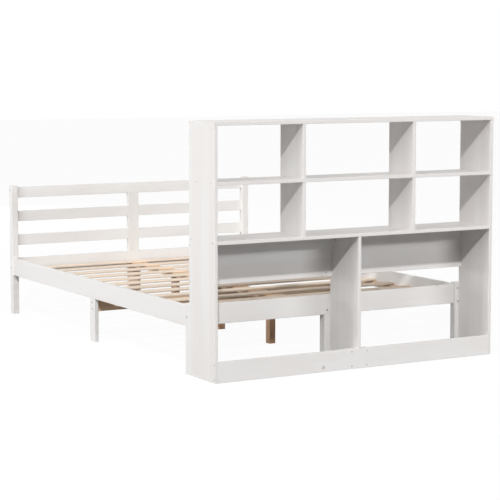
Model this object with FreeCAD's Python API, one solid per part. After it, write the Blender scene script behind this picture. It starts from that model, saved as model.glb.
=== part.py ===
import FreeCAD, Part
import os

# A wooden bed with an open bookcase at its head and a slatted panel at its foot.
# Millimetres. The origin is on the floor under the middle of the whole bed;
# +X is to the right and +Y to the foot end, seen from the bookcase; +Z is up.

Vector = FreeCAD.Vector

# The mattress and the room left round it
mattress_width = 1400
mattress_length = 2000
side_play = 4.5
end_play = 15

# Bookcase
bookcase_height = 1100
bookcase_depth = 230
shelf_board = 15
upper_depth = 190
side_column_width = 417
middle_shelf_top = 850
lower_shelf_top = 600
back_board_bottom = 388
plinth_height = 90
lap_clearance = 0.1

# Hidden joining pieces of the bookcase
joiner_width = 115
joiner_margin = 5
cleat_width = 50
cleat_depth = 25
cleat_margin = 3

# Posts, rails and foot panel
post_size = 35
head_post_height = 311
foot_post_height = 692
bed_board = 20
rail_bottom = 210
rail_height = 90
rail_recess = 3
panel_rail_height = 56
panel_gap = 72
panel_drop = 10
stile_width = 64

# Supports under the bed
mid_leg_width = 56
mid_leg_distance = 980
cross_beam_height = 56
cross_beam_top = 202
head_support_width = 56
foot_support_width = 64
centre_leg_width = 33
centre_leg_depth = 36
centre_leg_spacing = 500

# Slats and what they lie on
ledge_width = 20
ledge_height = 20
ledge_top = 240
beam_width = 86
beam_thickness = 20
slat_count = 13
slat_width = 56
slat_thickness = 10
slat_end_gap = 1
slat_side_gap = 1

# Eased edges of the boards
edge_round = 1.5
slat_edge_round = 3

# Fasteners
hole_clearance = 0.1
screw_radius = 2
screw_head_radius = 4
screw_head_depth = 2.5
screw_cross_width = 1
screw_cross_length = 4.6
screw_cross_depth = 1.4
bolt_radius = 3
bolt_head_radius = 5
bolt_head_height = 3
bolt_socket_radius = 2.3
bolt_socket_depth = 2
bolt_past_nut = 8
nut_radius = 5
nut_length = 10
nut_distance = 30
dowel_radius = 4
dowel_length = 30
dowel_short_end = 10
long_screw = 50
plinth_screw = 32
back_screw = 27
ledge_screw = 35
slat_screw = 25
support_screw = 33
cross_beam_screw = 45

# Places of the fasteners
middle_shelf_screws = (33, 162)
lower_shelf_screws = (19, 212)
back_screw_inset = 19.5
plinth_screw_inset = 13
joint_screw_offset = 39.5
divider_bolts = (26, 190)
divider_nut_depth = 46
side_dowels = (40, 190)
divider_dowels = (50, 150)
post_dowels = (60, 180)
rail_bolt_inset = 17.5
rail_bolt_margin = 10
rail_bolt_top_margin = 16
end_board_bolt_height = 250
end_board_dowel_height = 270
top_rail_bolt_drop = 15
top_rail_dowel_drop = 42
half_rail_dowel_offset = 15
stile_dowel_offset = 16
mid_leg_bolt_offset = 16
mid_leg_dowel_offset = 16
beam_bolt_offset = 13.5
support_screw_heights = (60, 150)

# Places worked out from the sizes
half_width = mattress_width / 2 + side_play + bed_board + rail_recess
total_length = bookcase_depth + post_size + mattress_length + end_play + bed_board
y_front = -total_length / 2
y_back = y_front + bookcase_depth
y_head = y_back + post_size
y_foot = total_length / 2
y_rail_end = y_foot - post_size
y_foot_inner = y_foot - bed_board
rail_top = rail_bottom + rail_height
x_side = half_width - shelf_board
x_post = half_width - post_size
x_rail = half_width - rail_recess
x_rail_inner = x_rail - bed_board
x_divider = x_side - side_column_width - shelf_board / 2
z_under_top = bookcase_height - shelf_board
z_under_lower_shelf = lower_shelf_top - shelf_board
y_mid_leg = y_head + mid_leg_distance
beam_bottom = ledge_top - beam_thickness
y_head_board = y_head - bed_board
slat_pitch = (y_rail_end - y_head - 2 * slat_end_gap - slat_width) / (slat_count - 1)
y_first_slat = y_head + slat_end_gap + slat_width / 2
panel_rail_tops = [
    foot_post_height - panel_drop - row * (panel_rail_height + panel_gap) for row in range(3)
]

boards = {}
fasteners = {name: [] for name in (
    "bookcase_screws", "bed_screws", "bolts", "barrel_nuts", "dowels",
)}
cutters = []


def span(start, size):
    """The interval that starts at a place and has a size."""
    return (start, start + size)


def about(middle, size):
    """The interval of a size about its middle."""
    return (middle - size / 2, middle + size / 2)


def sided(side, inner, outer):
    """The X interval between two distances from the middle, left (-1) or right (1)."""
    return tuple(sorted((side * inner, side * outer)))


def block(x, y, z):
    """A plain box over three intervals."""
    return Part.makeBox(x[1] - x[0], y[1] - y[0], z[1] - z[0], Vector(x[0], y[0], z[0]))


def board(x, y, z, grain, ease=edge_round):
    """A board over three intervals, its edges along the grain (0, 1, 2 for X, Y, Z) eased."""
    solid = block(x, y, z)
    long_edges = [edge for edge in solid.Edges if abs(edge.tangentAt(0)[grain]) > 0.5]
    return solid.makeFillet(ease, long_edges)


def post(x, y, height):
    """A post on the floor, its upright edges and the edges of its top eased."""
    solid = block(x, y, (0, height))
    eased = [edge for edge in solid.Edges if edge.CenterOfMass.z > edge_round]
    return solid.makeFillet(edge_round, eased)


def turned(outline):
    """A solid turned about Z from an outline of (radius, height) points."""
    points = [Vector(radius, 0, height) for radius, height in outline]
    face = Part.Face(Part.makePolygon(points + points[:1]))
    return face.revolve(Vector(0, 0, 0), Vector(0, 0, 1), 360)


def placed(shape, start, direction):
    """A copy of a shape made along +Z, moved to start at a point and run in a direction."""
    copy = shape.copy()
    copy.Placement = FreeCAD.Placement(start, FreeCAD.Rotation(Vector(0, 0, 1), direction))
    return copy


def wood_screw(length):
    """A countersunk screw with a cross recess, its head in the plane Z = 0."""
    solid = turned([
        (0, 0), (screw_head_radius, 0), (screw_radius, screw_head_depth),
        (screw_radius, length - screw_head_depth), (0, length),
    ])
    depth = (-1, screw_cross_depth)
    for x_size, y_size in (
        (screw_cross_length, screw_cross_width),
        (screw_cross_width, screw_cross_length),
    ):
        solid = solid.cut(block(about(0, x_size), about(0, y_size), depth))
    return solid


def screw_hole(length):
    """The countersunk hole that a wood screw of a length fits."""
    radius = screw_radius + hole_clearance
    head_radius = screw_head_radius + hole_clearance
    return turned([
        (0, -1), (head_radius, -1), (head_radius, 0), (radius, screw_head_depth),
        (radius, length), (0, length),
    ])


def add_screw(group, length, start, direction):
    """A wood screw and the hole that it needs."""
    fasteners[group].append(placed(wood_screw(length), start, direction))
    cutters.append(placed(screw_hole(length), start, direction))


def bolt(length):
    """A bolt with a round head and a hexagon socket, its head in the plane Z = 0."""
    solid = turned([
        (0, 0), (bolt_head_radius, 0), (bolt_head_radius, bolt_head_height),
        (bolt_radius, bolt_head_height), (bolt_radius, length), (0, length),
    ])
    corner = Vector(bolt_socket_radius, 0, 0)
    turn = FreeCAD.Rotation(Vector(0, 0, 1), 60)
    corners = [corner]
    for _ in range(6):
        corners.append(turn.multVec(corners[-1]))
    socket = Part.Face(Part.makePolygon(corners)).extrude(Vector(0, 0, bolt_socket_depth))
    return solid.cut(socket)


def bolt_hole(length):
    """The counterbored hole that a bolt of a length fits."""
    radius = bolt_radius + hole_clearance
    head_radius = bolt_head_radius + hole_clearance
    return turned([
        (0, -1), (head_radius, -1), (head_radius, bolt_head_height),
        (radius, bolt_head_height), (radius, length), (0, length),
    ])


def add_bolt(start, direction, reach, nut_side, face_distance):
    """A bolt and its barrel nut, which goes in from the face on the nut side."""
    length = reach + bolt_past_nut
    middle = start + direction * reach
    nut_end = middle - nut_side * (nut_length / 2)
    nut = Part.makeCylinder(nut_radius, nut_length, nut_end, nut_side)
    thread = Part.makeCylinder(bolt_radius, length, start, direction)
    pocket = Part.makeCylinder(
        nut_radius + hole_clearance, nut_length / 2 + face_distance, nut_end, nut_side
    )
    fasteners["bolts"].append(placed(bolt(length), start, direction))
    fasteners["barrel_nuts"].append(nut.cut(thread))
    cutters.append(placed(bolt_hole(length), start, direction))
    cutters.append(pocket)


def add_dowel(joint, direction, depth_behind=dowel_length / 2):
    """A dowel across a joint, with a stated depth behind the joint's plane."""
    start = joint - direction * depth_behind
    fasteners["dowels"].append(
        Part.makeCylinder(dowel_radius, dowel_length, start, direction)
    )
    cutters.append(
        Part.makeCylinder(dowel_radius + hole_clearance, dowel_length, start, direction)
    )


def make_bookcase():
    """The boards of the bookcase."""
    full_depth = (y_front, y_back)
    shallow = span(y_front, upper_depth)
    between_sides = (-x_side, x_side)
    boards["bookcase_top"] = board(
        (-half_width, half_width), full_depth, (z_under_top, bookcase_height), 0
    )
    boards["lower_shelf"] = board(
        between_sides, full_depth, (z_under_lower_shelf, lower_shelf_top), 0
    )
    shelf_levels = (middle_shelf_top - shelf_board, middle_shelf_top)
    shelf = board(between_sides, shallow, shelf_levels, 0)
    slot_width = shelf_board + 2 * lap_clearance
    slot_levels = about(middle_shelf_top - shelf_board / 2, slot_width)
    halfway = y_front + upper_depth / 2
    for side, name in ((-1, "left"), (1, "right")):
        boards["bookcase_side_" + name] = board(
            sided(side, x_side, half_width), full_depth, (0, z_under_top), 2
        )
        x_middle = side * x_divider
        divider = board(
            about(x_middle, shelf_board), shallow, (lower_shelf_top, z_under_top), 2
        )
        front_slot = block(about(x_middle, slot_width), (y_front - 1, halfway), slot_levels)
        rear_slot = block(
            about(x_middle, slot_width), (halfway, y_back), about(middle_shelf_top, 2 * slot_width)
        )
        boards["upper_divider_" + name] = divider.cut(front_slot)
        shelf = shelf.cut(rear_slot)
        make_bookcase_half(side, name)
    boards["middle_shelf"] = shelf
    make_lower_divider()
    boards["back_board_joiner"] = board(
        about(0, joiner_width), span(y_back, shelf_board),
        (back_board_bottom + joiner_margin, z_under_lower_shelf - joiner_margin), 2
    )


def make_bookcase_half(side, name):
    """The half boards of the back and the plinth, with the cleat behind the plinth."""
    half = sided(side, 0, x_side)
    boards["back_board_" + name] = board(
        half, (y_back - shelf_board, y_back), (back_board_bottom, z_under_lower_shelf), 0
    )
    boards["plinth_" + name] = board(half, span(y_front, shelf_board), (0, plinth_height), 0)
    cleat_x = sided(side, shelf_board / 2, shelf_board / 2 + cleat_width)
    boards["plinth_cleat_" + name] = board(
        cleat_x, span(y_front + shelf_board, cleat_depth),
        (cleat_margin, plinth_height - cleat_margin), 2
    )


def make_lower_divider():
    """The divider under the lower shelf, notched for the plinth and the back board."""
    x = about(0, shelf_board)
    divider = board(x, (y_front, y_back), (0, z_under_lower_shelf), 2)
    plinth_notch = block(x, span(y_front, shelf_board), (0, plinth_height))
    back_notch = block(
        x, (y_back - shelf_board, y_back), (back_board_bottom, z_under_lower_shelf)
    )
    boards["lower_divider"] = divider.cut(plinth_notch).cut(back_notch)


def fasten_bookcase():
    """The screws, dowels, bolts and nuts of the bookcase."""
    shelf_middle = middle_shelf_top - shelf_board / 2
    lower_middle = lower_shelf_top - shelf_board / 2
    back_levels = (back_board_bottom + back_screw_inset, z_under_lower_shelf - back_screw_inset)
    plinth_levels = (plinth_screw_inset, plinth_height - plinth_screw_inset)
    side_screws = (
        [(y_front + depth, shelf_middle) for depth in middle_shelf_screws]
        + [(y_front + depth, lower_middle) for depth in lower_shelf_screws]
        + [(y_back - shelf_board / 2, level) for level in back_levels]
        + [(y_front + shelf_board / 2, level) for level in plinth_levels]
    )
    to_foot = Vector(0, 1, 0)
    up = Vector(0, 0, 1)
    for side in (-1, 1):
        inward = Vector(-side, 0, 0)
        for y, z in side_screws:
            add_screw("bookcase_screws", long_screw, Vector(side * half_width, y, z), inward)
        x = side * joint_screw_offset
        for z in plinth_levels:
            add_screw("bookcase_screws", plinth_screw, Vector(x, y_front, z), to_foot)
        for z in back_levels:
            add_screw("bookcase_screws", back_screw, Vector(x, y_back - shelf_board, z), to_foot)
        x_panel = side * (half_width - shelf_board / 2)
        for depth in side_dowels:
            add_dowel(
                Vector(x_panel, y_front + depth, z_under_top), up, dowel_length - dowel_short_end
            )
        for depth in divider_dowels:
            x = side * x_divider
            add_dowel(Vector(x, y_front + depth, z_under_top), up, dowel_length - dowel_short_end)
            add_dowel(Vector(x, y_front + depth, lower_shelf_top), up, dowel_short_end)
        for z in post_dowels:
            add_dowel(Vector(x_panel, y_back, z), to_foot)
    for depth in divider_bolts:
        add_bolt(
            Vector(0, y_front + depth, lower_shelf_top), Vector(0, 0, -1),
            divider_nut_depth, Vector(-1, 0, 0), shelf_board / 2
        )


def make_bed_frame():
    """The posts, end boards, side rails and foot panel."""
    between_posts = (-x_post, x_post)
    foot_boards = (y_foot_inner, y_foot)
    rail_levels = (rail_bottom, rail_top)
    boards["head_board"] = board(between_posts, (y_head_board, y_head), rail_levels, 0)
    boards["foot_board"] = board(between_posts, foot_boards, rail_levels, 0)
    top_rail, upper_rail, lower_rail = panel_rail_tops
    boards["foot_top_rail"] = board(
        between_posts, foot_boards, (top_rail - panel_rail_height, top_rail), 0
    )
    boards["foot_stile"] = board(
        about(0, stile_width), foot_boards, (rail_top, top_rail - panel_rail_height), 2
    )
    for side, name in ((-1, "left"), (1, "right")):
        post_x = sided(side, x_post, half_width)
        boards["head_post_" + name] = post(post_x, (y_back, y_head), head_post_height)
        boards["foot_post_" + name] = post(post_x, (y_rail_end, y_foot), foot_post_height)
        boards["side_rail_" + name] = board(
            sided(side, x_rail_inner, x_rail), (y_head, y_rail_end), rail_levels, 1
        )
        half = sided(side, stile_width / 2, x_post)
        for top, row in ((upper_rail, "upper"), (lower_rail, "lower")):
            boards["foot_rail_" + row + "_" + name] = board(
                half, foot_boards, (top - panel_rail_height, top), 0
            )


def fasten_bed_frame():
    """The bolts, nuts and dowels of the posts, end boards, rails and foot panel."""
    reach = post_size + nut_distance
    half_board = bed_board / 2
    y_head_middle = y_head - half_board
    y_foot_middle = y_foot - half_board
    top_rail, upper_rail, lower_rail = panel_rail_tops
    rail_bolts = (rail_bottom + rail_bolt_margin, rail_top - rail_bolt_top_margin)
    nut_to_face = rail_recess + bed_board - rail_bolt_inset
    to_foot = Vector(0, 1, 0)
    to_head = Vector(0, -1, 0)
    up = Vector(0, 0, 1)
    for side in (-1, 1):
        inward = Vector(-side, 0, 0)
        x_outer = side * half_width
        x_joint = side * x_post
        add_bolt(
            Vector(x_outer, y_head_middle, end_board_bolt_height), inward,
            reach, to_foot, half_board
        )
        for z in (end_board_bolt_height, top_rail - top_rail_bolt_drop):
            add_bolt(Vector(x_outer, y_foot_middle, z), inward, reach, to_foot, half_board)
        x_bolt = side * (half_width - rail_bolt_inset)
        for z in rail_bolts:
            add_bolt(Vector(x_bolt, y_back, z), to_foot, reach, inward, nut_to_face)
            add_bolt(Vector(x_bolt, y_foot, z), to_head, reach, inward, nut_to_face)
        add_dowel(Vector(x_joint, y_head_middle, end_board_dowel_height), inward)
        for z in (end_board_dowel_height, top_rail - top_rail_dowel_drop):
            add_dowel(Vector(x_joint, y_foot_middle, z), inward)
        for top in (upper_rail, lower_rail):
            for offset in (-half_rail_dowel_offset, half_rail_dowel_offset):
                z = top - panel_rail_height / 2 + offset
                add_dowel(Vector(x_joint, y_foot_middle, z), inward)
                x_stile = side * stile_width / 2
                add_dowel(Vector(x_stile, y_foot_middle, z), inward, dowel_length - dowel_short_end)
        for z in (rail_top, top_rail - panel_rail_height):
            add_dowel(Vector(side * stile_dowel_offset, y_foot_middle, z), up)


def make_supports():
    """The legs, beams and ledges under the slats, and the slats."""
    y_beam = about(y_mid_leg, bed_board)
    centre_legs = (0, beam_bottom)
    boards["cross_beam"] = board(
        (-x_rail_inner, x_rail_inner), y_beam,
        (cross_beam_top - cross_beam_height, cross_beam_top), 0
    )
    boards["centre_beam"] = board(
        about(0, beam_width), (y_head, y_foot_inner), (beam_bottom, ledge_top), 1
    )
    boards["head_support_outer"] = board(
        about(0, head_support_width), (y_head_board, y_head), (0, rail_bottom), 2
    )
    boards["head_support_inner"] = board(
        about(0, head_support_width), span(y_head, bed_board), centre_legs, 2
    )
    boards["foot_support_outer"] = board(
        about(0, foot_support_width), (y_foot_inner, y_foot), (0, rail_bottom), 2
    )
    boards["foot_support_inner"] = board(
        about(0, foot_support_width), (y_foot_inner - bed_board, y_foot_inner), centre_legs, 2
    )
    for number in range(3):
        y_leg = y_beam[1] + (number - 1) * centre_leg_spacing
        boards["centre_leg_" + str(number + 1)] = board(
            about(0, centre_leg_width), span(y_leg, centre_leg_depth), centre_legs, 2
        )
    for side, name in ((-1, "left"), (1, "right")):
        boards["mid_leg_" + name] = board(
            sided(side, x_rail_inner, x_rail), about(y_mid_leg, mid_leg_width), (0, rail_bottom), 2
        )
        boards["slat_ledge_" + name] = board(
            sided(side, x_rail_inner - ledge_width, x_rail_inner), (y_head, y_rail_end),
            (ledge_top - ledge_height, ledge_top), 1
        )
    slat_end = x_rail_inner - slat_side_gap
    for number in range(slat_count):
        boards["slat_%02d" % (number + 1)] = board(
            (-slat_end, slat_end), about(y_first_slat + number * slat_pitch, slat_width),
            span(ledge_top, slat_thickness), 0, slat_edge_round
        )


def fasten_supports():
    """The bolts, nuts, dowels and screws of the legs, beams, ledges and slats."""
    reach = bed_board + nut_distance
    half_board = bed_board / 2
    beam_middle = ledge_top - beam_thickness / 2
    cross_middle = cross_beam_top - cross_beam_height / 2
    to_foot = Vector(0, 1, 0)
    to_head = Vector(0, -1, 0)
    up = Vector(0, 0, 1)
    down = Vector(0, 0, -1)
    x_ledge = x_rail_inner - ledge_width / 2
    slat_top = ledge_top + slat_thickness
    for side in (-1, 1):
        inward = Vector(-side, 0, 0)
        for offset in (-mid_leg_bolt_offset, mid_leg_bolt_offset):
            start = Vector(side * x_rail, y_mid_leg, cross_middle + offset)
            add_bolt(start, inward, reach, to_foot, half_board)
        for offset in (-mid_leg_dowel_offset, mid_leg_dowel_offset):
            add_dowel(Vector(side * (x_rail - half_board), y_mid_leg + offset, rail_bottom), up)
        x = side * beam_bolt_offset
        add_bolt(Vector(x, y_head_board, beam_middle), to_foot, reach, down, beam_thickness / 2)
        add_bolt(Vector(x, y_foot, beam_middle), to_head, reach, down, beam_thickness / 2)
        x_face = side * (x_rail_inner - ledge_width)
        for number in range(0, slat_count - 1, 2):
            y = y_first_slat + (number + 0.5) * slat_pitch
            start = Vector(x_face, y, ledge_top - ledge_height / 2)
            add_screw("bed_screws", ledge_screw, start, Vector(side, 0, 0))
    for number in range(slat_count):
        y = y_first_slat + number * slat_pitch
        for x in (-x_ledge, 0, x_ledge):
            add_screw("bed_screws", slat_screw, Vector(x, y, slat_top), down)
    for y in (y_head - half_board, y_foot - half_board):
        add_dowel(Vector(0, y, rail_bottom), up)
    leg_middles = [
        y_mid_leg + half_board + number * centre_leg_spacing + centre_leg_depth / 2
        for number in (-1, 0, 1)
    ]
    for y in [y_head + half_board, y_foot_inner - half_board] + leg_middles:
        add_dowel(Vector(0, y, beam_bottom), up, dowel_length - dowel_short_end)
    for z in support_screw_heights:
        add_screw("bed_screws", support_screw, Vector(0, y_head + bed_board, z), to_head)
        add_screw("bed_screws", support_screw, Vector(0, y_foot_inner - bed_board, z), to_foot)
    start = Vector(0, y_mid_leg - half_board, cross_middle)
    add_screw("bed_screws", cross_beam_screw, start, to_foot)


def drilled(solid):
    """A board with every fastener's hole that reaches it cut out."""
    for cutter in cutters:
        if solid.BoundBox.intersect(cutter.BoundBox):
            solid = solid.cut(cutter)
    return solid


make_bookcase()
fasten_bookcase()
make_bed_frame()
fasten_bed_frame()
make_supports()
fasten_supports()

os.makedirs("parts", exist_ok=True)
for name, solid in boards.items():
    drilled(solid).exportStep("parts/" + name + ".step")
for name, solids in fasteners.items():
    Part.makeCompound(solids).exportStep("parts/" + name + ".step")
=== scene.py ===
"""Bookcase headboard bed: finishes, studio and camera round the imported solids.

Everything is in metres, in the frame of the solids: the floor is z = 0, the bookcase
stands at -Y and the foot panel at +Y. Every board and fitting is seen as it was packed:
the script gives them their finishes and adds no shape but the studio floor.
"""
import math

import bmesh
import bpy
from mathutils import Euler, Matrix, Vector


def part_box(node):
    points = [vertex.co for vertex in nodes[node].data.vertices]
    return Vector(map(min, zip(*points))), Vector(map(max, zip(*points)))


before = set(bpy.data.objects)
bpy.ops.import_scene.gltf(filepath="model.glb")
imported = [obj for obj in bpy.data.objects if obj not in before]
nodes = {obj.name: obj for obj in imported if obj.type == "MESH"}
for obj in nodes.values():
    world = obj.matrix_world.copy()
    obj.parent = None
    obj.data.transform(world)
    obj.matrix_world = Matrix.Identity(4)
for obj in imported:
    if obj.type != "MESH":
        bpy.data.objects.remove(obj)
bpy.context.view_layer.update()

# ---------------------------------------------------------------- colours, linear RGB
paint_white = (0.778, 0.763, 0.749, 1.0)
paint_rosy = (0.748, 0.716, 0.700, 1.0)
paint_greenish = (0.748, 0.746, 0.728, 1.0)
paint_over_knot = (0.500, 0.465, 0.440, 1.0)
paint_over_joint = (0.610, 0.595, 0.580, 1.0)
slat_early = (0.850, 0.730, 0.612, 1.0)
slat_late = (0.740, 0.565, 0.415, 1.0)
beam_early = (0.740, 0.530, 0.360, 1.0)
beam_late = (0.580, 0.370, 0.220, 1.0)
# centre legs: a browner pine, also painted darker as painted shade for the shade under the slats
# and bookcase
leg_early_with_painted_shade = (0.540, 0.335, 0.205, 1.0)
leg_late_with_painted_shade = (0.420, 0.240, 0.140, 1.0)
pine_knot = (0.330, 0.185, 0.100, 1.0)
beech_pale = (0.640, 0.440, 0.280, 1.0)
beech_dark = (0.500, 0.310, 0.180, 1.0)
zinc_light = (0.560, 0.560, 0.550, 1.0)
zinc_dull = (0.330, 0.330, 0.325, 1.0)
white = (1.0, 1.0, 1.0, 1.0)
floor_grey = (0.22, 0.22, 0.22, 1.0)

# ---------------------------------------------------------------- wood and paint
stave_width = 0.074
joint_edge, joint_core = 0.0009, 0.0002
knot_cells_per_metre = 5.5
cells_without_knot = 0.55
knot_pushes_rings = 0.012
ring_wander = 0.022

# how strongly each mark shows through the paint, and on bare pine
drift_in_paint, strip_in_paint, joint_in_paint = 0.75, 0.80, 0.35
rings_in_paint, knot_in_paint = 0.22, 0.70
rings_in_pine, streak_in_pine, knot_in_pine = 0.62, 0.28, 0.85


# ---------------------------------------------------------------- node helpers
def set_inputs(tree, node, inputs):
    """Each named input of the node, linked to a socket or set to a value."""
    for name, value in inputs.items():
        if isinstance(value, bpy.types.NodeSocket):
            tree.links.new(value, node.inputs[name])
        else:
            node.inputs[name].default_value = value


def add(tree, kind, inputs=None, **settings):
    """One shader node, with its settings made and its inputs set or linked."""
    node = tree.nodes.new("ShaderNode" + kind)
    for name, value in settings.items():
        setattr(node, name, value)
    set_inputs(tree, node, inputs or {})
    return node


def math_node(tree, operation, *values):
    """The result of one Math node on numbers or sockets."""
    return add(tree, "Math", dict(enumerate(values)), operation=operation).outputs[0]


def vector_node(tree, operation, *values):
    """The vector result of one Vector Math node."""
    return add(tree, "VectorMath", dict(enumerate(values)), operation=operation).outputs[0]


def scaled_vector(tree, vector, factor):
    """The vector times a number or a socket."""
    return add(tree, "VectorMath", {0: vector, "Scale": factor}, operation="SCALE").outputs[0]


def smooth_step(tree, value, start, end):
    """0 where value is at start, 1 where it is at end, eased between them."""
    inputs = {"Value": value, "From Min": start, "From Max": end}
    return add(tree, "MapRange", inputs, interpolation_type="SMOOTHSTEP").outputs["Result"]


def noise(tree, vector, scale, detail=2.0, roughness=0.5):
    """A smooth random mask between 0 and 1."""
    inputs = {"Vector": vector, "Scale": scale, "Detail": detail, "Roughness": roughness}
    return add(tree, "TexNoise", inputs).outputs["Fac"]


def mix_colour(tree, factor, first, second):
    """first where factor is 0, second where it is 1."""
    node = add(tree, "Mix", data_type="RGBA")
    for name, value in (("Factor_Float", factor), ("A_Color", first), ("B_Color", second)):
        socket = next(s for s in node.inputs if s.identifier == name)
        if isinstance(value, bpy.types.NodeSocket):
            tree.links.new(value, socket)
        else:
            socket.default_value = value
    return next(s for s in node.outputs if s.identifier == "Result_Color")


def lay_over(tree, under, over, mask, share):
    """The under colour, with the over colour laid on it by the mask times the share."""
    return mix_colour(tree, math_node(tree, "MULTIPLY", mask, share), under, over)


def new_group(name, inputs, outputs):
    """An empty node group with named float or vector sockets: (tree, its inputs)."""
    tree = bpy.data.node_groups.new(name, "ShaderNodeTree")
    for names, direction in ((inputs, "INPUT"), (outputs, "OUTPUT")):
        for socket_name in names:
            kind = "NodeSocketVector" if "Vector" in socket_name else "NodeSocketFloat"
            tree.interface.new_socket(socket_name, in_out=direction, socket_type=kind)
    return tree, tree.nodes.new("NodeGroupInput").outputs


def close_group(tree, results):
    """Links the results to the group's named outputs."""
    set_inputs(tree, tree.nodes.new("NodeGroupOutput"), results)
    return tree


def use_group(tree, group, inputs):
    """The group placed in a material with its own values: its outputs."""
    node = tree.nodes.new("ShaderNodeGroup")
    node.node_tree = group
    set_inputs(tree, node, inputs)
    return node.outputs


# ---------------------------------------------------------------- shared effects
def make_glued_strips():
    """Edge-glued staves: each strip gets its own tone and its own piece of the log."""
    tree, given = new_group("glued strips", ["Vector", "Strip Width", "Seed"],
                            ["Strip Vector", "Tone", "Joint"])
    across = add(tree, "SeparateXYZ", {0: given["Vector"]}).outputs["Y"]
    place = math_node(tree, "ADD", math_node(tree, "DIVIDE", across, given["Strip Width"]),
                      given["Seed"])
    strip = math_node(tree, "FLOOR", place)
    chance = add(tree, "TexWhiteNoise", {"W": strip}, noise_dimensions="1D")
    shift = vector_node(tree, "MULTIPLY", chance.outputs["Color"], (7.0, 0.05, 0.02))

    from_middle = math_node(tree, "ABSOLUTE", math_node(
        tree, "SUBTRACT", math_node(tree, "FRACT", place), 0.5))
    from_joint = math_node(tree, "MULTIPLY", math_node(tree, "SUBTRACT", 0.5, from_middle),
                           given["Strip Width"])
    return close_group(tree, {
        "Strip Vector": vector_node(tree, "ADD", given["Vector"], shift),
        "Tone": chance.outputs["Value"],
        "Joint": smooth_step(tree, from_joint, joint_edge, joint_core),
    })


def add_knots(tree, seeded, knot_size):
    """Round knots, and a wider swirl about each: two masks."""
    through_the_board = vector_node(tree, "MULTIPLY", seeded, (1.0, 1.0, 0.06))
    cells = add(tree, "TexVoronoi", {
        "Vector": through_the_board, "Scale": knot_cells_per_metre, "Randomness": 1.0,
    }, voronoi_dimensions="3D")
    to_knot = math_node(tree, "DIVIDE", cells.outputs["Distance"], knot_cells_per_metre)
    chance = add(tree, "SeparateXYZ", {0: cells.outputs["Color"]}).outputs
    present = math_node(tree, "GREATER_THAN", chance["X"], cells_without_knot)
    radius = math_node(tree, "MULTIPLY", knot_size,
                       math_node(tree, "MULTIPLY_ADD", chance["Y"], 0.8, 0.4))
    radii_away = math_node(tree, "DIVIDE", to_knot, radius)
    knot, swirl = (
        math_node(tree, "MULTIPLY", present, smooth_step(tree, radii_away, start, end))
        for start, end in ((1.0, 0.7), (5.0, 0.5)))
    return knot, swirl


def add_rings(tree, given, seeded, swirl):
    """Growth rings about the heart, which wander and give way to knots: late wood is 1."""
    along_and_across = vector_node(tree, "MULTIPLY", seeded, (1.3, 5.0, 5.0))
    slow = add(tree, "TexNoise", {"Vector": along_and_across, "Scale": 1.0, "Detail": 2.0})
    centred = vector_node(tree, "SUBTRACT", slow.outputs["Color"], (0.5, 0.5, 0.5))
    drift = scaled_vector(tree, centred, given["Wander"])
    wandering = vector_node(tree, "ADD", given["Vector"], drift)
    heart = add(tree, "CombineXYZ", {"Y": given["Heart Across"], "Z": given["Heart Depth"]})
    from_heart = vector_node(tree, "SUBTRACT", wandering, heart.outputs[0])
    end_grain = vector_node(tree, "MULTIPLY", from_heart, (0.0, 1.0, 1.0))
    radius = add(tree, "VectorMath", {0: end_grain}, operation="LENGTH").outputs["Value"]
    pushed = math_node(tree, "MULTIPLY_ADD", swirl, knot_pushes_rings, radius)
    year = math_node(tree, "FRACT", math_node(tree, "DIVIDE", pushed, given["Ring Spacing"]))
    darkens, ends = smooth_step(tree, year, 0.25, 0.90), smooth_step(tree, year, 1.0, 0.93)
    return math_node(tree, "MULTIPLY", darkens, ends)


def make_plank_grain():
    """Growth rings about a heart beside the board, fibres along it, and round knots.

    The vector runs along the board in X, across its face in Y and through it in Z.
    """
    tree, given = new_group(
        "plank grain",
        ["Vector", "Heart Across", "Heart Depth", "Ring Spacing", "Wander", "Knot Size", "Seed"],
        ["Rings", "Fibre", "Knot"])
    seeded = vector_node(tree, "ADD", given["Vector"],
                         scaled_vector(tree, (3.1, 7.3, 5.7), given["Seed"]))
    knot, swirl = add_knots(tree, seeded, given["Knot Size"])
    streaks = vector_node(tree, "MULTIPLY", seeded, (9.0, 420.0, 420.0))
    return close_group(tree, {
        "Rings": add_rings(tree, given, seeded, swirl),
        "Fibre": noise(tree, streaks, 1.0, detail=3.0, roughness=0.6),
        "Knot": knot,
    })


def make_brushed_paint():
    """Sprayed and brushed enamel: slow changes of tone, and a fine uneven skin."""
    tree, given = new_group("brushed paint", ["Vector", "Seed"], ["Drift", "Skin"])
    seeded = vector_node(tree, "ADD", given["Vector"],
                         scaled_vector(tree, (4.7, 2.9, 8.3), given["Seed"]))
    patches = vector_node(tree, "MULTIPLY", seeded, (2.2, 11.0, 11.0))
    bristles = vector_node(tree, "MULTIPLY", seeded, (60.0, 700.0, 700.0))
    bristle_share, speck_share = 0.6, 0.4
    specks = math_node(tree, "MULTIPLY", noise(tree, seeded, 900.0, detail=1.0), speck_share)
    return close_group(tree, {
        "Drift": noise(tree, patches, 1.0),
        "Skin": math_node(tree, "MULTIPLY_ADD", noise(tree, bristles, 1.0), bristle_share,
                          specks),
    })


glued_strips = make_glued_strips()
plank_grain = make_plank_grain()
brushed_paint = make_brushed_paint()


# ---------------------------------------------------------------- materials
def new_material(name):
    """An empty material with a Principled shader on its output: (material, tree, shader)."""
    material = bpy.data.materials.new(name)
    material.use_nodes = True
    tree = material.node_tree
    tree.nodes.clear()
    shader = add(tree, "BsdfPrincipled")
    add(tree, "OutputMaterial", {"Surface": shader.outputs[0]})
    return material, tree, shader


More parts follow.
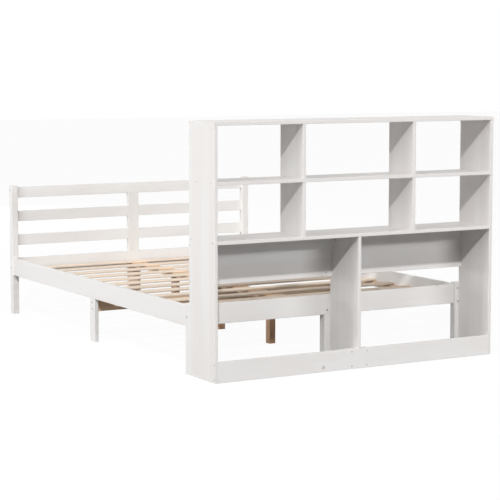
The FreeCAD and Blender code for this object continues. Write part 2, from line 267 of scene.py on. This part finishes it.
def set_surface(tree, shader, colour, roughness, relief):
    """The shader's colour, roughness (mask, low, high) and relief (height, strength, depth)."""
    mask, low, high = roughness
    height, strength, depth = relief
    spread_out = add(tree, "MapRange", {"Value": mask, "To Min": low, "To Max": high})
    bump = add(tree, "Bump", {"Height": height, "Strength": strength, "Distance": depth})
    set_inputs(tree, shader, {"Base Color": colour, "Roughness": spread_out.outputs[0],
                              "Normal": bump.outputs[0]})


def board_vector(tree, name):
    """Object coordinates centred on the board: length in X, width in Y, thickness in Z."""
    low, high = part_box(name)
    size = Vector(high) - Vector(low)
    longest_first = sorted(range(3), key=lambda axis: -size[axis])
    rows = [Vector([float(axis == k) for k in range(3)]) for axis in longest_first]
    if rows[0].cross(rows[1]).dot(rows[2]) < 0:
        rows[2].negate()
    turn = Matrix(rows)
    centre = (Vector(low) + Vector(high)) / 2
    coordinates = add(tree, "TexCoord").outputs["Object"]
    return add(tree, "Mapping", {"Vector": coordinates, "Location": -(turn @ centre),
                                 "Rotation": turn.to_euler()}).outputs[0]


def spread(seed, low, high):
    """A fixed number between low and high, which differs well from board to board."""
    golden_step = 0.6180339887
    return low + (high - low) * ((seed * golden_step) % 1.0)


def board_grain(tree, name, seed, strip_width):
    """The grain of one board, and its strips where it is glued up from several."""
    vector = board_vector(tree, name)
    strips = None
    if strip_width:
        strips = use_group(tree, glued_strips, {
            "Vector": vector, "Strip Width": strip_width, "Seed": spread(seed, 0.0, 1.0)})
    grain = use_group(tree, plank_grain, {
        "Vector": strips["Strip Vector"] if strips else vector,
        "Heart Across": spread(seed + 3, -0.03, 0.05),
        "Heart Depth": spread(seed + 5, 0.025, 0.11),
        "Ring Spacing": spread(seed + 8, 0.0028, 0.0046),
        "Wander": ring_wander,
        "Knot Size": spread(seed + 2, 0.007, 0.011),
        "Seed": float(seed)})
    return vector, strips, grain


def painted_board(name, seed, strip_width=0.0):
    """White satin paint through which rings, knots and glued joints still show faintly."""
    material, tree, shader = new_material("white_paint_" + name)
    vector, strips, grain = board_grain(tree, name, seed, strip_width)
    skin = use_group(tree, brushed_paint, {"Vector": vector, "Seed": float(seed)})
    drift = smooth_step(tree, skin["Drift"], 0.42, 0.66)
    colour = lay_over(tree, paint_white, paint_rosy, drift, drift_in_paint)
    if strips:
        rosy_strip = smooth_step(tree, strips["Tone"], 0.45, 0.25)
        greenish_strip = smooth_step(tree, strips["Tone"], 0.55, 0.75)
        colour = lay_over(tree, colour, paint_rosy, rosy_strip, strip_in_paint)
        colour = lay_over(tree, colour, paint_greenish, greenish_strip, strip_in_paint)
        colour = lay_over(tree, colour, paint_over_joint, strips["Joint"], joint_in_paint)
    colour = lay_over(tree, colour, paint_greenish, grain["Rings"], rings_in_paint)
    colour = lay_over(tree, colour, paint_over_knot, grain["Knot"], knot_in_paint)
    height = math_node(tree, "MULTIPLY_ADD", grain["Rings"], 0.35, skin["Skin"])
    set_surface(tree, shader, colour, roughness=(skin["Skin"], 0.42, 0.58),
                relief=(height, 0.30, 0.0002))
    return material


def bare_board(name, seed, early, late):
    """Planed pine with no finish: pale early wood, warm late wood and brown knots."""
    material, tree, shader = new_material("bare_pine_" + name)
    _, _, grain = board_grain(tree, name, seed, 0.0)
    streak = smooth_step(tree, grain["Fibre"], 0.45, 0.75)
    colour = lay_over(tree, early, late, grain["Rings"], rings_in_pine)
    colour = lay_over(tree, colour, late, streak, streak_in_pine)
    colour = lay_over(tree, colour, pine_knot, grain["Knot"], knot_in_pine)
    height = math_node(tree, "MULTIPLY_ADD", grain["Rings"], 0.5, grain["Fibre"])
    set_surface(tree, shader, colour, roughness=(grain["Fibre"], 0.55, 0.78),
                relief=(height, 0.35, 0.0003))
    return material


def turned_beech():
    """Dowels: short pale beech pins with fine flecks."""
    material, tree, shader = new_material("dowel_beech")
    coordinates = add(tree, "TexCoord").outputs["Object"]
    flecks = noise(tree, coordinates, 420.0, detail=3.0)
    colour = mix_colour(tree, flecks, beech_pale, beech_dark)
    set_surface(tree, shader, colour, roughness=(flecks, 0.5, 0.7),
                relief=(flecks, 0.3, 0.0002))
    return material


def plated_zinc(name, roughness_low, roughness_high):
    """Zinc plating: spangled grey with dull patches and fine handling marks."""
    material, tree, shader = new_material(name)
    coordinates = add(tree, "TexCoord").outputs["Object"]
    spangle = noise(tree, coordinates, 350.0, detail=4.0, roughness=0.6)
    dull = smooth_step(tree, spangle, 0.40, 0.68)
    marks = noise(tree, coordinates, 1800.0)
    colour = mix_colour(tree, dull, zinc_light, zinc_dull)
    set_surface(tree, shader, colour, roughness=(dull, roughness_low, roughness_high),
                relief=(marks, 0.2, 0.00005))
    shader.inputs["Metallic"].default_value = 1.0
    return material


# ---------------------------------------------------------------- finish of each node
glued_boards = ("bookcase_top", "bookcase_side", "middle_shelf", "upper_divider",
                "lower_shelf", "lower_divider", "back_board")
beams = ("slat_ledge", "centre_beam", "cross_beam", "foot_support_inner")
screw_steel = plated_zinc("screw_steel", 0.30, 0.50)
bolt_steel = plated_zinc("bolt_steel", 0.24, 0.45)
fittings = {
    "bookcase_screws": screw_steel,
    "bed_screws": screw_steel,
    "bolts": bolt_steel,
    "barrel_nuts": bolt_steel,
    "dowels": turned_beech(),
}


def finish_of(name, seed):
    """The material of one node. Beams come before slats, because ledges are beams."""
    if name in fittings:
        return fittings[name]
    if name.startswith(beams):
        return bare_board(name, seed, beam_early, beam_late)
    # the centre legs take the darker brown, which is partly wood colour and partly painted shade
    if name.startswith("centre_leg"):
        return bare_board(name, seed, leg_early_with_painted_shade, leg_late_with_painted_shade)
    if name.startswith("slat_"):
        return bare_board(name, seed, slat_early, slat_late)
    return painted_board(name, seed, stave_width if name.startswith(glued_boards) else 0.0)


for seed, name in enumerate(sorted(nodes), start=1):
    finish = finish_of(name, seed)
    for slot in nodes[name].material_slots:
        slot.material = finish


# ---------------------------------------------------------------- floor and backdrop
floor_half = 30.0
floor_drop = 0.0002
shadow_share = 0.05
room_light = 0.03


def picture_rays(tree):
    """1 for rays to the camera, straight or by gloss or glass, and 0 for the others."""
    rays = add(tree, "LightPath").outputs
    return math_node(tree, "MAXIMUM", rays["Is Camera Ray"], math_node(
        tree, "MAXIMUM", rays["Is Glossy Ray"], rays["Is Transmission Ray"]))


def make_floor():
    """A wide pale floor. The camera sees it white, and its shadow only faintly."""
    mesh = bpy.data.meshes.new("floor")
    shape = bmesh.new()
    bmesh.ops.create_grid(shape, x_segments=1, y_segments=1, size=floor_half,
                          matrix=Matrix.Translation((0.0, 0.0, -floor_drop)))
    shape.to_mesh(mesh)
    shape.free()
    floor = bpy.data.objects.new("floor", mesh)
    bpy.context.scene.collection.objects.link(floor)

    material = bpy.data.materials.new("studio_floor")
    material.use_nodes = True
    tree = material.node_tree
    tree.nodes.clear()
    matt = add(tree, "BsdfDiffuse", {"Color": floor_grey}).outputs[0]
    pale = add(tree, "BsdfDiffuse", {"Color": white}).outputs[0]
    glow = add(tree, "Emission", {"Color": white, "Strength": 1.0}).outputs[0]
    seen = add(tree, "MixShader", {0: shadow_share, 1: glow, 2: pale}).outputs[0]
    both = add(tree, "MixShader", {0: picture_rays(tree), 1: matt, 2: seen}).outputs[0]
    add(tree, "OutputMaterial", {"Surface": both})
    mesh.materials.append(material)


def make_world():
    """White behind the object, and a low even room light on it."""
    world = bpy.data.worlds.new("studio")
    world.use_nodes = True
    tree = world.node_tree
    tree.nodes.clear()
    strength = math_node(tree, "MULTIPLY_ADD", picture_rays(tree), 1.0 - room_light,
                         room_light)
    sky = add(tree, "Background", {"Color": white, "Strength": strength})
    add(tree, "OutputWorld", {"Surface": sky.outputs[0]})
    bpy.context.scene.world = world


make_floor()
make_world()


# ---------------------------------------------------------------- lamps
def add_lamp(lamp, place, direction):
    """The lamp in the scene, at a place and along a direction."""
    holder = bpy.data.objects.new(lamp.name, lamp)
    holder.location = place
    holder.rotation_euler = Vector(direction).to_track_quat("-Z", "Y").to_euler()
    bpy.context.scene.collection.objects.link(holder)


def add_sun(name, direction, strength, angle):
    """Hard light from one direction, as wide in the sky as the angle in degrees."""
    lamp = bpy.data.lights.new(name, "SUN")
    lamp.energy, lamp.angle = strength, math.radians(angle)
    add_lamp(lamp, (0.0, 0.0, 0.0), direction)


def add_softbox(name, place, target, size, power):
    """Soft light from a rectangle (width, height) that faces the target."""
    lamp = bpy.data.lights.new(name, "AREA")
    lamp.shape, lamp.energy = "RECTANGLE", power
    lamp.size, lamp.size_y = size
    add_lamp(lamp, place, Vector(target) - Vector(place))


softboxes = (
    ("front_right_softbox", (3.0, -7.15, 2.6), (0.0, -1.0, 0.55), (3.0, 0.4), 172.0),
    ("left_softbox", (-8.3, -3.1, 5.2), (-0.3, -0.9, 0.6), (5.1, 3.4), 335.0),
    ("left_rear_softbox", (-5.0, 0.0, 3.3), (0.0, 0.0, 0.5), (3.0, 2.0), 34.0),
    ("left_narrow_softbox", (-8.6, -1.52, 3.6), (-0.3, -1.1, 0.45), (0.6, 1.4), 158.0),
    ("left_rail_softbox", (-3.0, 1.0, 0.6), (-0.7, 0.8, 0.3), (2.0, 0.4), 9.5),
    ("rear_top_softbox", (0.0, 1.6, 5.2), (0.0, -0.4, 0.5), (3.0, 2.0), 6.0),
    ("top_softbox", (0.0, -1.0, 5.5), (0.0, -0.8, 0.5), (2.0, 2.0), 29.0),
    ("rear_fill_softbox", (0.1, 7.5, 0.8), (0.1, 0.8, 0.5), (3.0, 1.0), 170.0),
    ("floor_bounce_card", (0.0, -2.5, 0.05), (0.0, -1.15, 0.25), (3.0, 0.1), 1.1),
)
add_sun("key_light", (0.57, 1.0, -0.825), strength=1.94, angle=2.2)
for softbox in softboxes:
    add_softbox(*softbox)

# ---------------------------------------------------------------- camera
camera_place = (-4.0351, -7.2183, 1.3435)
camera_yaw, camera_dip = math.radians(29.816), math.radians(5.550)

camera_data = bpy.data.cameras.new("camera")
camera_data.sensor_width = 36.0
camera_data.lens = 119.89
camera_data.shift_y = -0.05
camera = bpy.data.objects.new("camera", camera_data)
camera.location = camera_place
camera.rotation_euler = Euler((math.radians(90.0) - camera_dip, 0.0, -camera_yaw), "XYZ")
bpy.context.scene.collection.objects.link(camera)
bpy.context.scene.camera = camera
bpy.context.scene.view_settings.view_transform = "Standard"
